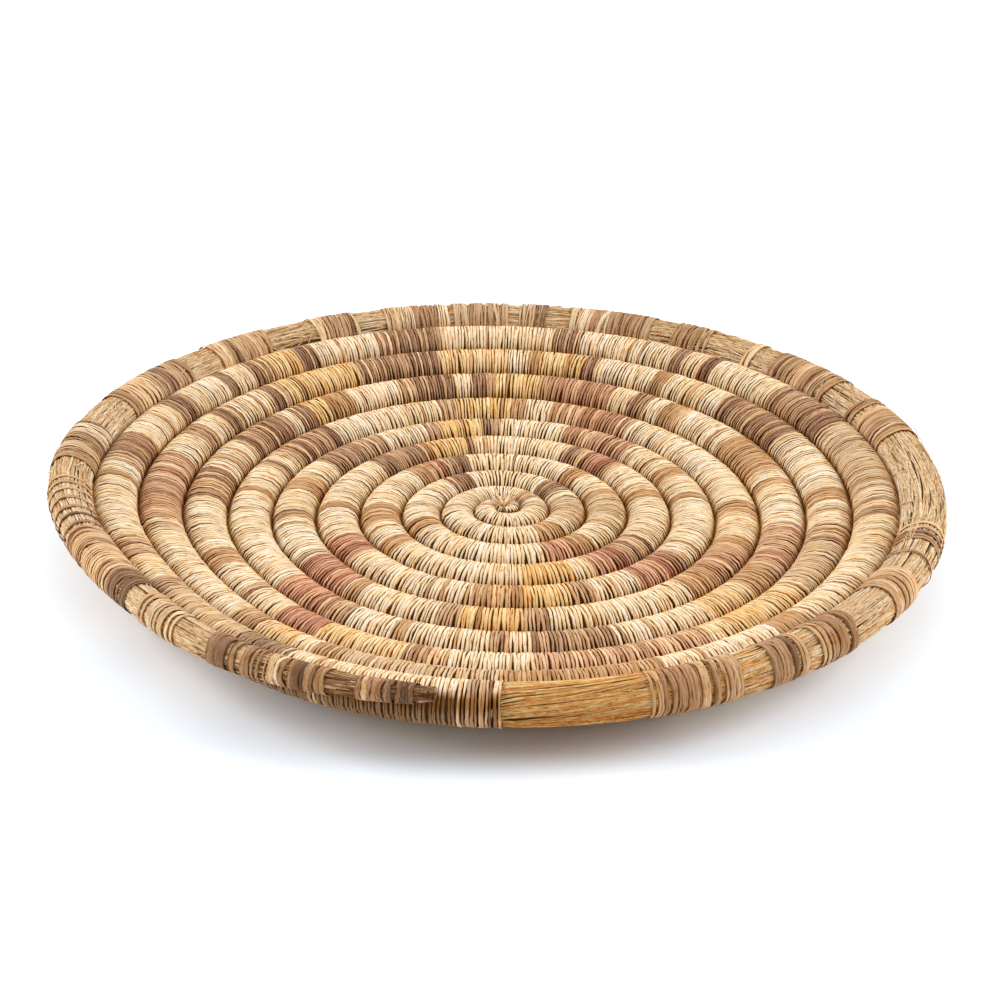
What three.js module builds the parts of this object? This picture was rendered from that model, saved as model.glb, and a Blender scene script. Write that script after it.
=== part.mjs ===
// A coiled basket plaque: one bundle of grass wound in a spiral and sewn, round upon round, with leaf strips.
// The strips change colour along the coil and so draw a whirling pattern of four arms. The last round is left
// bare, as a rim that spaced lashings hold. Millimetres, +Z up; the plaque stands on its flat middle rounds.
import * as THREE from "three";

// The spiral that the coil follows
const COIL_PITCH = 20.3; // from one full-grown round to the next
const COIL_DEPTH = 18.6; // full-grown coil, from its top to its underside
const START_EASE = 1.52; // turns over which the coil grows to its full thickness
const FIRST_EDGE_TURN = 1.12; // turns of the spiral behind the first round's outer edge on the +X side
const SIDE_PULL = 0.007; // the coil is sewn wider on the +X side, and tighter on the other, by this share
const DENT = 0.061; // the front left side is pressed in, by this share at DENT_RADIUS
const DENT_RADIUS = 200;
const DENT_DEGREES = 213; // where it is pressed in most
const DENT_SPREAD = 22; // degrees to either side
const ROUND_GAP = 0.5; // between one round and the next
const FOOT_CUT = 0.5; // worn off the underside of the rounds that the plaque stands on

// The dish: a flat middle, and a wall that rises to the rim
const WALL_START = 100.4; // radius at which the wall leaves the flat middle
const RIM_RISE = 19.3; // height that the wall gains up to the rim
const RIM_LEAN = 0.055; // the wall is higher on the +X side, and lower on the other, by this share
const RIM_WARP = 0.043; // it is higher at both sides than at the front and back, by this share either way
const WALL_CURVE = 1.64; // 1 is a straight wall, and more is a wall that steepens towards the rim
const WALL_CURVE_SWING = 0.49; // the front wall is more curved than the back wall

// The rim's tail, in turns from the +X side of the first round
const TAIL_TAPER_TURN = 10.58;
const TAIL_END_TURN = 10.73;
const TAIL_SHARE = 0.3; // what is left of the rim's thickness where its tail ends

// The bundle's tip, the strips and the knot
const TIP_THICKNESS = 1.2; // the bundle where the coil begins, beside the knot
const STRIP_THICKNESS = 1.0; // sewing strips round the bundle
const LASHING_THICKNESS = 0.7; // strips round the bare rim
const BUNDLE_CLEARANCE = 0.3; // between a bundle and what is wrapped round it
const END_GAP = 0.4; // between two stretches of sewing that meet end to end
const KNOT_RADIUS = 4.0;
const KNOT_DEPTH = 9.0;
const KNOT_CROWN = 1.2; // height of the knot's rounded edge
const KNOT_STANDS_PROUD = 0.4;
const KNOT_SIDES = 16;

// The coil's faceted section
const SHOULDER = 0.55; // half the width of the section's flat top, as a share of its half width
const STEPS = 24; // straight steps in a round
const INNER_STEPS = 12; // and in the small rounds in the middle
const INNER_ROUNDS = 4;
const SHORTEST_STEP = 0.05; // of a step: rings that lie closer than this are one

const FULL_TURN = 2 * Math.PI;
const DEGREES_PER_TURN = 360;

// The sewing chart. Each stretch runs on from the one before, up to a round and an angle in degrees
// counted from the +X side towards +Y.
const SEWING = [
  ["natural", 4, 41],
  ["red", 4, 64],
  ["natural", 4, 204],
  ["red", 4, 219],
  ["natural", 5, 47],
  ["red_brown", 5, 71],
  ["natural", 5, 130],
  ["brown", 5, 153],
  ["natural", 5, 213],
  ["red", 5, 230],
  ["natural", 5, 326],
  ["red_brown", 5, 342],
  ["natural", 6, 56],
  ["red_brown", 6, 76],
  ["natural", 6, 138],
  ["brown", 6, 155],
  ["natural", 6, 220],
  ["red", 6, 239],
  ["natural", 6, 333],
  ["red_brown", 6, 353],
  ["natural", 7, 66],
  ["red_brown", 7, 80],
  ["natural", 7, 143],
  ["brown", 7, 157],
  ["natural", 7, 229],
  ["red", 7, 239],
  ["natural", 7, 275],
  ["red_brown", 7, 306],
  ["natural", 8, 26],
  ["brown", 8, 44],
  ["natural", 8, 103],
  ["brown", 8, 120],
  ["natural", 8, 169],
  ["red_brown", 8, 192],
  ["natural", 9, 22],
  ["brown", 9, 38],
  ["natural", 9, 101],
  ["brown", 9, 113],
  ["natural", 9, 167],
  ["brown", 9, 177],
  ["natural", 9, 231],
  ["brown", 9, 240],
  ["natural", 9, 270],
];

// The lashings round the bare rim: round, first angle and last angle in degrees.
const LASHINGS = [
  [9, 288, 302],
  [9, 305, 318],
  [10, 14, 22],
  [10, 34, 44],
  [10, 57, 63],
  [10, 67, 80],
  [10, 84, 109],
  [10, 114, 121],
  [10, 129, 139],
  [10, 145, 160],
  [10, 169, 180],
  [10, 200, 217],
  [10, 220, 231],
  [10, 236, 250],
];

const COLOURS = {
  natural: 0xd9bd8c,
  brown: 0x8a6647,
  red_brown: 0x8f5a43,
  red: 0xa8664f,
  lashing: 0xa58a68,
  bare_grass: 0xb98b52,
  inner_grass: 0xb59a66,
  knot: 0x9a7a55,
};

function strawMaterial(colour) {
  return new THREE.MeshStandardMaterial({ color: colour, roughness: 0.75, metalness: 0 });
}

function turnOf(round, degrees) {
  return round + degrees / DEGREES_PER_TURN;
}

const [, LAST_ROUND, LAST_DEGREES] = SEWING[SEWING.length - 1];
const SEWING_END_TURN = turnOf(LAST_ROUND, LAST_DEGREES);
const SEWN_INSET = STRIP_THICKNESS + BUNDLE_CLEARANCE;
const RIM_INSET = LASHING_THICKNESS + BUNDLE_CLEARANCE;

// The spiral

function dentAt(turn) {
  const degreesOff = (turn - Math.floor(turn)) * DEGREES_PER_TURN - DENT_DEGREES;
  return DENT * Math.exp(-Math.pow(degreesOff / DENT_SPREAD, 2));
}

function edgeRadius(turn) {
  const grown = Math.max(turn + FIRST_EDGE_TURN, 0);
  const eased = grown - START_EASE * (1 - Math.exp(-grown / START_EASE));
  const radius = COIL_PITCH * eased * (1 + SIDE_PULL * Math.cos(FULL_TURN * turn));
  return radius * (1 - dentAt(turn) * Math.pow(radius / DENT_RADIUS, 2));
}

// The coil begins where there is room beside the knot for the bundle's tip and the strips round it.
function coilStartTurn() {
  const room = KNOT_RADIUS + ROUND_GAP + 2 * SEWN_INSET + TIP_THICKNESS;
  let tooEarly = -FIRST_EDGE_TURN;
  let lateEnough = SEWING_END_TURN;
  while (lateEnough - tooEarly > SHORTEST_STEP / STEPS) {
    const middle = (tooEarly + lateEnough) / 2;
    if (edgeRadius(middle) < room) tooEarly = middle;
    else lateEnough = middle;
  }
  return lateEnough;
}

const COIL_START_TURN = coilStartTurn();

// The rim's middle at the back is the radius at which the wall has gained its whole rise.
const BACK_OF_RIM_TURN = Math.floor(TAIL_END_TURN) + 0.25;
const RIM_RADIUS = (edgeRadius(BACK_OF_RIM_TURN - 1) + edgeRadius(BACK_OF_RIM_TURN)) / 2;

function wallRise(radius, angle) {
  const curve = WALL_CURVE * Math.exp(-WALL_CURVE_SWING * Math.sin(angle));
  const share = Math.max(radius - WALL_START, 0) / (RIM_RADIUS - WALL_START);
  const warped = 1 + RIM_LEAN * Math.cos(angle) + RIM_WARP * Math.cos(2 * angle);
  return RIM_RISE * warped * Math.pow(share, curve);
}

function wallTilt(radius, angle) {
  const reach = COIL_PITCH / 2;
  return Math.atan2(wallRise(radius + reach, angle) - wallRise(radius - reach, angle), 2 * reach);
}

function tailShare(turn) {
  const along = (turn - TAIL_TAPER_TURN) / (TAIL_END_TURN - TAIL_TAPER_TURN);
  return 1 - (1 - TAIL_SHARE) * THREE.MathUtils.clamp(along, 0, 1);
}

const TOP_LEVEL = COIL_DEPTH - FOOT_CUT; // the coil's top over the flat middle

// The middle of the coil at a turn, and its size there. The rounds' tops are level until the wall lifts them.
function coilAt(turn) {
  const angle = FULL_TURN * turn;
  const inner = Math.max(edgeRadius(turn - 1), KNOT_RADIUS);
  const width = (edgeRadius(turn) - inner) * tailShare(turn);
  const radius = inner + width / 2;
  const halfDepth = (COIL_DEPTH / 2) * Math.min(width / COIL_PITCH, 1);
  return {
    angle,
    radius,
    halfWidth: (width - ROUND_GAP) / 2,
    halfDepth,
    height: TOP_LEVEL - halfDepth + wallRise(radius, angle),
    tilt: wallTilt(radius, angle),
  };
}

// The coil's section at a turn: six corners, drawn in by an inset and cut flat at the foot.
function exactRing(turn, inset) {
  const coil = coilAt(turn);
  const across = coil.halfWidth - inset;
  const up = coil.halfDepth - inset;
  const corners = [
    [across, 0],
    [SHOULDER * across, up],
    [-SHOULDER * across, up],
    [-across, 0],
    [-SHOULDER * across, -up],
    [SHOULDER * across, -up],
  ];
  return corners.map(([out, rise]) => {
    const radius = coil.radius + out * Math.cos(coil.tilt) - rise * Math.sin(coil.tilt);
    const height = coil.height + out * Math.sin(coil.tilt) + rise * Math.cos(coil.tilt);
    return new THREE.Vector3(
      radius * Math.cos(coil.angle),
      radius * Math.sin(coil.angle),
      Math.max(height, inset),
    );
  });
}

function stepsIn(round) {
  return round < INNER_ROUNDS ? INNER_STEPS : STEPS;
}

// Between two steps the coil runs straight, so that every piece on it keeps its gap to its neighbours.
function ringAt(turn, inset) {
  const round = Math.floor(turn);
  const steps = stepsIn(round);
  const step = Math.floor((turn - round) * steps);
  const share = (turn - round) * steps - step;
  const first = exactRing(round + step / steps, inset);
  const second = exactRing(round + (step + 1) / steps, inset);
  return first.map((corner, i) => corner.lerp(second[i], share));
}

// The turns at which a piece from one turn to another has its rings: its ends, the coil's steps, and stops
// of its own, such as the ends of what is wrapped round it.
function turnsBetween(from, to, stops = []) {
  const turns = [...stops];
  for (let round = Math.floor(from); round <= to; round += 1) {
    const steps = stepsIn(round);
    for (let step = 0; step < steps; step += 1) turns.push(round + step / steps);
  }
  const sliver = SHORTEST_STEP / STEPS;
  const inside = turns.filter((turn) => turn > from + sliver && turn < to - sliver).sort((a, b) => a - b);
  const spaced = inside.filter((turn, i) => i === 0 || turn - inside[i - 1] > sliver);
  return [from, ...spaced, to];
}

// Closed skins over rows of rings

function sideFaces(first, second, count, inward) {
  const faces = [];
  for (let i = 0; i < count; i += 1) {
    const next = (i + 1) % count;
    const quad = [first + i, second + i, second + next, first + next];
    if (inward) quad.reverse();
    faces.push(quad[0], quad[1], quad[2], quad[0], quad[2], quad[3]);
  }
  return faces;
}

function geometryFrom(rings, faces) {
  const positions = rings.flat().flatMap((corner) => corner.toArray());
  const geometry = new THREE.BufferGeometry();
  geometry.setAttribute("position", new THREE.Float32BufferAttribute(positions, 3));
  geometry.setIndex(faces);
  geometry.computeVertexNormals();
  return geometry;
}

// One unbroken solid tube along the coil.
function bundleGeometry(from, to, inset, stops) {
  const rings = turnsBetween(from, to, stops).map((turn) => ringAt(turn, inset));
  const count = rings[0].length;
  const last = (rings.length - 1) * count;
  const faces = [];
  for (let i = 0; i + 1 < rings.length; i += 1) {
    faces.push(...sideFaces(i * count, (i + 1) * count, count, false));
  }
  for (let i = 1; i + 1 < count; i += 1) {
    faces.push(0, i, i + 1);
    faces.push(last, last + i + 1, last + i);
  }
  return geometryFrom(rings, faces);
}

// A sleeve along the coil, open at both ends for the bundle.
function sleeveGeometry(from, to, thickness) {
  const turns = turnsBetween(from, to);
  const outer = turns.map((turn) => ringAt(turn, 0));
  const inner = turns.map((turn) => ringAt(turn, thickness));
  const count = outer[0].length;
  const bore = outer.length * count;
  const last = (outer.length - 1) * count;
  const faces = [];
  for (let i = 0; i + 1 < outer.length; i += 1) {
    faces.push(...sideFaces(i * count, (i + 1) * count, count, false));
    faces.push(...sideFaces(bore + i * count, bore + (i + 1) * count, count, true));
  }
  faces.push(...sideFaces(bore, 0, count, false));
  faces.push(...sideFaces(last, bore + last, count, false));
  return geometryFrom([...outer, ...inner], faces);
}

function gapInTurns(turn) {
  return END_GAP / 2 / (FULL_TURN * coilAt(turn).radius);
}

// The pieces

const plaque = new THREE.Group();

function addPiece(name, geometry, colour) {
  const mesh = new THREE.Mesh(geometry, strawMaterial(colour));
  mesh.name = name;
  plaque.add(mesh);
}

function addBundles() {
  const sewnEnd = SEWING_END_TURN - gapInTurns(SEWING_END_TURN);
  const rimStart = SEWING_END_TURN + gapInTurns(SEWING_END_TURN);
  const sewingStops = SEWING.map(([, round, degrees]) => turnOf(round, degrees));
  const lashingStops = LASHINGS.flatMap(([round, ...ends]) => ends.map((degrees) => turnOf(round, degrees)));
  const sewn = bundleGeometry(COIL_START_TURN, sewnEnd, SEWN_INSET, sewingStops);
  const rim = bundleGeometry(rimStart, TAIL_END_TURN, RIM_INSET, lashingStops);
  addPiece("foundation_bundle", sewn, COLOURS.inner_grass);
  addPiece("rim_bundle", rim, COLOURS.bare_grass);
}

function addSewing() {
  let from = COIL_START_TURN;
  SEWING.forEach(([colour, round, degrees], index) => {
    const to = turnOf(round, degrees);
    const number = String(index + 1).padStart(2, "0");
    const geometry = sleeveGeometry(from + gapInTurns(from), to - gapInTurns(to), STRIP_THICKNESS);
    addPiece(`sewing_${number}_${colour}`, geometry, COLOURS[colour]);
    from = to;
  });
}

function addLashings() {
  LASHINGS.forEach(([round, first, last], index) => {
    const number = String(index + 1).padStart(2, "0");
    const geometry = sleeveGeometry(turnOf(round, first), turnOf(round, last), LASHING_THICKNESS);
    addPiece(`rim_lashing_${number}`, geometry, COLOURS.lashing);
  });
}

function addKnot() {
  const top = TOP_LEVEL + KNOT_STANDS_PROUD;
  const radius = KNOT_RADIUS - ROUND_GAP / 2;
  const profile = [
    new THREE.Vector2(0, top - KNOT_DEPTH),
    new THREE.Vector2(radius, top - KNOT_DEPTH),
    new THREE.Vector2(radius, top - KNOT_CROWN),
    new THREE.Vector2(radius / 2, top),
    new THREE.Vector2(0, top),
  ];
  const geometry = new THREE.LatheGeometry(profile, KNOT_SIDES);
  geometry.rotateX(Math.PI / 2);
  addPiece("start_knot", geometry, COLOURS.knot);
}

addBundles();
addSewing();
addLashings();
addKnot();

// The least gap that the coil keeps to itself from one round to the next, measured on its corners
function leastGap(from, to, inset) {
  const turns = turnsBetween(from, to - 1);
  let least = Infinity;
  turns.forEach((turn) => {
    const inside = ringAt(turn, inset);
    const outside = ringAt(turn + 1, inset);
    inside.forEach((a) => outside.forEach((b) => (least = Math.min(least, a.distanceTo(b)))));
  });
  return least;
}

const sewnGap = leastGap(COIL_START_TURN, TAIL_END_TURN, 0);
const bundleGap = leastGap(COIL_START_TURN, SEWING_END_TURN, SEWN_INSET);
console.log(`least gap of the sewn coil to itself ${sewnGap.toFixed(2)} mm`);
console.log(`least gap of the foundation bundle to itself ${bundleGap.toFixed(2)} mm`);

// The part's origin is the middle of its footprint, on the surface that it stands on.
const footprint = new THREE.Box3().setFromObject(plaque).getCenter(new THREE.Vector3());
plaque.position.set(-footprint.x, -footprint.y, 0);

export default plaque;
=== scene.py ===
# A coiled basket plaque: a grass bundle wound in a spiral and sewn, round upon round, with dyed leaf strips.
# The last round is left bare, as a rim that spaced lashings hold. Metres, +Z up.
import math
import random
from collections import namedtuple

import bmesh
import bpy
from mathutils import Matrix, Vector


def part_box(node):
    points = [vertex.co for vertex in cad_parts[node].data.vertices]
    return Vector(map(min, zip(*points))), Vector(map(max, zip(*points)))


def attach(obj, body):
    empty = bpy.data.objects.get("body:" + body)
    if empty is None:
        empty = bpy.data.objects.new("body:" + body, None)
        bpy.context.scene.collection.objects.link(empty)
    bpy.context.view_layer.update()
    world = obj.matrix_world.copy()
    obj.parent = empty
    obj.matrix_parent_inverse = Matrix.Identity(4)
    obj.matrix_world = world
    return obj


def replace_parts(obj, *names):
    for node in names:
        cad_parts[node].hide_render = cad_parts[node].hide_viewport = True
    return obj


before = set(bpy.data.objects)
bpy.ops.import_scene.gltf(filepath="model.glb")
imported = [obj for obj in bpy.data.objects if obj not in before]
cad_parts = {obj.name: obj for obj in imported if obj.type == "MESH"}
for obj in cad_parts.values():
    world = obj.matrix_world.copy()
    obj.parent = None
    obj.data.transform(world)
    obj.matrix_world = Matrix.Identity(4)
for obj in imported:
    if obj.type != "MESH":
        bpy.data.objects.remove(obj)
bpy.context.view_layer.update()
hand = random.Random(11)
MM = 0.001
FULL_TURN = 2 * math.pi
MERGE_DISTANCE = 1e-6

# The spiral of the solids
COIL_PITCH = 20.3 * MM
COIL_DEPTH = 18.6 * MM
START_EASE = 1.52
FIRST_EDGE_TURN = 1.12
SIDE_PULL = 0.007
DENT = 0.061
DENT_RADIUS = 200 * MM
DENT_DEGREES = 213
DENT_SPREAD = 22
ROUND_GAP = 0.5 * MM
FOOT_CUT = 0.5 * MM
WALL_START = 100.4 * MM
RIM_RISE = 19.3 * MM
RIM_LEAN = 0.055
RIM_WARP = 0.043
WALL_CURVE = 1.64
WALL_CURVE_SWING = 0.49
SEWING_END_TURN = 9.75
BACK_OF_RIM_TURN = 10.25
TAIL_TAPER_TURN = 10.58
TAIL_END_TURN = 10.73
TAIL_SHARE = 0.3
TOP_LEVEL = COIL_DEPTH - FOOT_CUT

# Where the strips and stalks leave the spiral of the solids
COIL_START_TURN = -0.22
HOLE_RADIUS = 1.8 * MM
SNUG = 0.4 * MM  # how far a round presses into the round beside it
RIM_INSET = 1.0 * MM  # how far the middles of the rim's stalks lie under its surface
TAIL_TUCK = 4.0 * MM  # how far a tail that thinned to nothing would lean down and in
TAIL_SWELL = 0.5  # how much deeper it would be for its loose stalks

# The strips
SECTION_POWER = 2.25  # 2 is an ellipse, and more is a squarer section
TAPER_POWER = 2.2
WAVER = 0.13 * MM  # how far a strip strays to either side
FINE_WAVER = 0.6 * WAVER
WIDTH_SWING = 0.13  # how much a strip's width changes along it
FINE_WIDTH_SWING = 0.08
SEEDS = (0, 500)

knot_low, knot_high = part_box("start_knot")
AXIS = (knot_low + knot_high) / 2

# The camera, from the photograph's view
CAMERA_DISTANCE = 1.150
CAMERA_ELEVATION = math.radians(26.49)
CAMERA_ROLL = math.radians(1.24)
CAMERA_LENS = 92.9
CAMERA_SHIFT = (-0.0037, 0.0045)
CAMERA_NEAR = 0.01


# The spiral

def dent_at(turn):
    degrees_off = (turn - math.floor(turn)) * 360 - DENT_DEGREES
    return DENT * math.exp(-((degrees_off / DENT_SPREAD) ** 2))


def edge_radius(turn):
    grown = max(turn + FIRST_EDGE_TURN, 0)
    eased = grown - START_EASE * (1 - math.exp(-grown / START_EASE))
    radius = COIL_PITCH * eased * (1 + SIDE_PULL * math.cos(FULL_TURN * turn))
    return radius * (1 - dent_at(turn) * (radius / DENT_RADIUS) ** 2)


RIM_RADIUS = (edge_radius(BACK_OF_RIM_TURN - 1) + edge_radius(BACK_OF_RIM_TURN)) / 2


def wall_rise(radius, angle):
    curve = WALL_CURVE * math.exp(-WALL_CURVE_SWING * math.sin(angle))
    share = max(radius - WALL_START, 0) / (RIM_RADIUS - WALL_START)
    warped = 1 + RIM_LEAN * math.cos(angle) + RIM_WARP * math.cos(2 * angle)
    return RIM_RISE * warped * share ** curve


def wall_tilt(radius, angle):
    reach = COIL_PITCH / 2
    gain = wall_rise(radius + reach, angle) - wall_rise(radius - reach, angle)
    return math.atan2(gain, 2 * reach)


def tail_share(turn):
    along = (turn - TAIL_TAPER_TURN) / (TAIL_END_TURN - TAIL_TAPER_TURN)
    return 1 - (1 - TAIL_SHARE) * min(max(along, 0), 1)


Coil = namedtuple("Coil", "angle radius inward outward half_depth height tilt")


def coil_at(turn):
    """The coil's section: its middle, its tilt, and how far it reaches inwards, outwards, up and down."""
    angle = FULL_TURN * turn
    inner = max(edge_radius(turn - 1), HOLE_RADIUS)
    width = (edge_radius(turn) - inner) * tail_share(turn)
    radius = inner + width / 2
    half_width = (width - ROUND_GAP) / 2
    half_depth = (COIL_DEPTH / 2) * min(width / COIL_PITCH, 1)
    height = TOP_LEVEL - half_depth + wall_rise(radius, angle)
    tilt = wall_tilt(radius, angle)
    snug = half_width / math.cos(tilt) + SNUG
    sewn = turn < SEWING_END_TURN
    tuck = TAIL_TUCK * (1 - tail_share(turn))
    inward, outward = (snug, snug) if sewn else (snug + RIM_INSET + tuck, half_width)
    swell = 1 + TAIL_SWELL * (1 - tail_share(turn))
    return Coil(angle, radius, inward, outward, half_depth * swell, height - tuck, tilt)


def on_coil(coil, side, top, along=0.0):
    """The point at these shares of the coil's reach, outwards and up, and so far along it."""
    out = side * (coil.outward if side > 0 else coil.inward)
    up = top * coil.half_depth
    radius = coil.radius + out * math.cos(coil.tilt) - up * math.sin(coil.tilt)
    height = coil.height + out * math.sin(coil.tilt) + up * math.cos(coil.tilt)
    angle = coil.angle + along / coil.radius
    return Vector((AXIS.x + radius * math.cos(angle), AXIS.y + radius * math.sin(angle), max(height, 0)))


def turn_of(round_number, degrees):
    return round_number + degrees / 360


# The sewing chart

# Where each sewn node ends: round, and degrees from the +X side towards +Y
SEWING_ENDS = (
    (4, 41), (4, 64), (4, 204), (4, 219), (5, 47), (5, 71), (5, 130), (5, 153), (5, 213), (5, 230),
    (5, 326), (5, 342), (6, 56), (6, 76), (6, 138), (6, 155), (6, 220), (6, 239), (6, 333), (6, 353),
    (7, 66), (7, 80), (7, 143), (7, 157), (7, 229), (7, 239), (7, 275), (7, 306), (8, 26), (8, 44),
    (8, 103), (8, 120), (8, 169), (8, 192), (9, 22), (9, 38), (9, 101), (9, 113), (9, 167), (9, 177),
    (9, 231), (9, 240), (9, 270),
)

# Short stretches of another dye inside a sewn node, by round: first degree, last degree and dye
SHORT_DYES = {
    1: ((30, 60, "tan"), (300, 325, "tan"), (338, 360, "grey")),
    2: ((0, 22, "grey"), (34, 54, "brown"), (118, 137, "brown"), (200, 214, "tan"), (293, 312, "red"),
        (312, 322, "tan"), (338, 360, "grey")),
    3: ((0, 17, "grey"), (17, 25, "tan"), (42, 54, "tan"), (109, 123, "brown"), (123, 132, "red"),
        (132, 144, "tan"), (180, 200, "tan"), (214, 222, "tan"), (278, 296, "gold"), (304, 306, "brown"),
        (306, 322, "red"), (322, 336, "brown")),
    4: ((12, 18, "tan"), (41, 44, "tan"), (54, 64, "brown"), (101, 106, "brown"), (106, 120, "gold"),
        (120, 124, "tan"), (124, 146, "brown"), (180, 184, "tan"), (261, 276, "tan"), (276, 291, "gold"),
        (291, 298, "brown"), (312, 328, "red"), (328, 332, "brown")),
    5: ((8, 12, "tan"), (24, 30, "tan"), (91, 98, "brown"), (98, 110, "gold"), (110, 115, "brown"),
        (164, 172, "tan"), (185, 190, "brown"), (230, 234, "tan"), (254, 260, "brown"), (260, 276, "gold"),
        (276, 281, "brown"), (318, 326, "tan"), (342, 346, "tan")),
    6: ((0, 5, "tan"), (76, 78, "tan"), (85.5, 89, "tan"), (89, 103, "gold"), (103, 107, "brown"),
        (160, 163, "brown"), (173, 177, "tan"), (231.5, 239, "brown"), (249, 252, "tan"),
        (268, 272, "brown"), (276, 293, "brown"), (312, 325, "honey"), (325, 333, "tan")),
    7: ((9, 13, "tan"), (16, 33, "tan"), (47, 52, "tan"), (56, 60, "brown"), (80, 82, "tan"),
        (82, 92.5, "gold"), (92.5, 95, "tan"), (95, 98, "brown"), (102, 113, "brown"), (126, 132, "tan"),
        (132, 137, "gold"), (137, 140, "brown"), (164, 165, "tan"), (169, 182, "brown"), (202, 209, "tan"),
        (219, 221, "brown"), (239, 254, "honey"), (254, 260, "brown"), (306, 328, "honey"),
        (329, 345, "grey"), (345, 351, "brown"), (355, 357, "tan")),
    8: ((0, 4, "tan"), (57, 60, "tan"), (72, 75, "brown"), (75, 83, "gold"), (83, 86, "tan"),
        (90, 103, "honey"), (120, 136, "gold"), (136, 140, "brown"), (150, 153, "brown"),
        (158, 161, "brown"), (194, 195, "brown"), (226.5, 234, "brown"), (234, 239, "honey"),
        (242, 247, "brown"), (247, 270, "grey"), (270, 293, "tan"), (312, 318, "tan"), (352, 358, "brown")),
    9: ((0, 22, "grey"), (51, 54, "brown"), (58, 61, "brown"), (77, 82, "brown"), (124.5, 128.5, "brown"),
        (128.5, 135, "gold"), (135, 138, "brown"), (142, 144, "brown"), (151, 156, "brown"),
        (201, 206, "brown"), (213, 217, "brown"), (217, 234, "grey"), (234, 242, "dark_brown"),
        (246.5, 248.5, "brown"), (266, 270, "brown")),
}

# Dyes: the palest and the deepest colour of their strips, as seen on a screen, and the finish they belong to
Dye = namedtuple("Dye", "pale deep finish")
DYES = {
    "natural": Dye((255, 244, 222), (254, 227, 186), "natural_strip"),
    "honey": Dye((255, 236, 196), (248, 206, 146), "natural_strip"),
    "gold": Dye((255, 230, 178), (244, 198, 132), "natural_strip"),
    "grey": Dye((244, 222, 190), (216, 182, 142), "natural_strip"),
    "tan": Dye((240, 202, 158), (190, 146, 104), "natural_strip"),
    "brown": Dye((236, 196, 152), (160, 114, 82), "brown_strip"),
    "dark_brown": Dye((196, 156, 118), (128, 92, 68), "brown_strip"),
    "red_brown": Dye((246, 206, 166), (196, 140, 104), "red_brown_strip"),
    "red": Dye((238, 184, 150), (184, 118, 92), "red_strip"),
    "lashing": Dye((232, 195, 154), (182, 143, 107), "lashing_strip"),
    "pale_lashing": Dye((247, 224, 190), (206, 172, 134), "lashing_strip"),
    "brown_lashing": Dye((184, 144, 110), (117, 85, 63), "lashing_strip"),
    "straw": Dye((255, 240, 212), (234, 202, 164), "bare_grass"),
    "golden_straw": Dye((255, 228, 166), (240, 176, 106), "bare_grass"),
    "brown_straw": Dye((200, 158, 120), (134, 98, 70), "bare_grass"),
}
LEAST_PALENESS = -0.25
MOST_PALENESS = 1.2


def linear(channel):
    value = channel / 255
    return value / 12.92 if value <= 0.04045 else ((value + 0.055) / 1.055) ** 2.4


def dyed(name, paleness):
    """A strip's own colour: its dye's palest at 1 and deepest at 0."""
    dye = DYES[name]
    share = min(max(paleness, LEAST_PALENESS), MOST_PALENESS)
    mixed = (deep + (pale - deep) * share for pale, deep in zip(dye.pale, dye.deep))
    return (*(linear(min(channel, 255)) for channel in mixed), 1.0)


def node_dye(node):
    """The dye that a sewn node is named for, after its kind and number."""
    return node.split("_", 2)[2]


def sewn_dye(turn, plain_dye):
    round_number = int(turn)
    degrees = (turn - round_number) * 360
    for first, last, dye in SHORT_DYES.get(round_number, ()):
        if first <= degrees < last:
            return dye
    return plain_dye


# Shapes that are repeated along the coil

def strip_loop(name, steps, edge_drop, crown):
    """One turn of a strip with a crowned back round a section of radius 1. Its axis is Y and its width is 1.
    It starts underneath, where its seam is out of sight."""
    loop = bmesh.new()
    profile = ((-0.5, 1 - edge_drop), (-crown, 1), (crown, 1), (0.5, 1 - edge_drop))
    verts = [loop.verts.new((0, across, -radius)) for across, radius in profile]
    edges = [loop.edges.new(pair) for pair in zip(verts, verts[1:] + verts[:1])]
    bmesh.ops.spin(loop, geom=verts + edges, cent=(0, 0, 0), axis=(0, 1, 0), angle=FULL_TURN, steps=steps,
                   use_merge=True)
    bmesh.ops.recalc_face_normals(loop, faces=loop.faces)
    around = loop.verts.layers.float.new("around")
    across = loop.verts.layers.float.new("across")
    for vert in loop.verts:
        radius = math.hypot(vert.co.x, vert.co.z)
        side, top = vert.co.x / radius, vert.co.z / radius
        vert[around] = (math.atan2(side, -top) / FULL_TURN) % 1
        vert[across] = vert.co.y + 0.5
        vert.co.x = radius * math.copysign(abs(side) ** (2 / SECTION_POWER), side)
        vert.co.z = radius * math.copysign(abs(top) ** (2 / SECTION_POWER), top)
    for face in loop.faces:
        face.smooth = True
    mesh = bpy.data.meshes.new(name)
    loop.to_mesh(mesh)
    loop.free()
    return mesh


ROD_END = 0.499  # past here along the rod is its end
ROD_POINT = 0.4  # how thick the rod's ends are, of its full thickness


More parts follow.
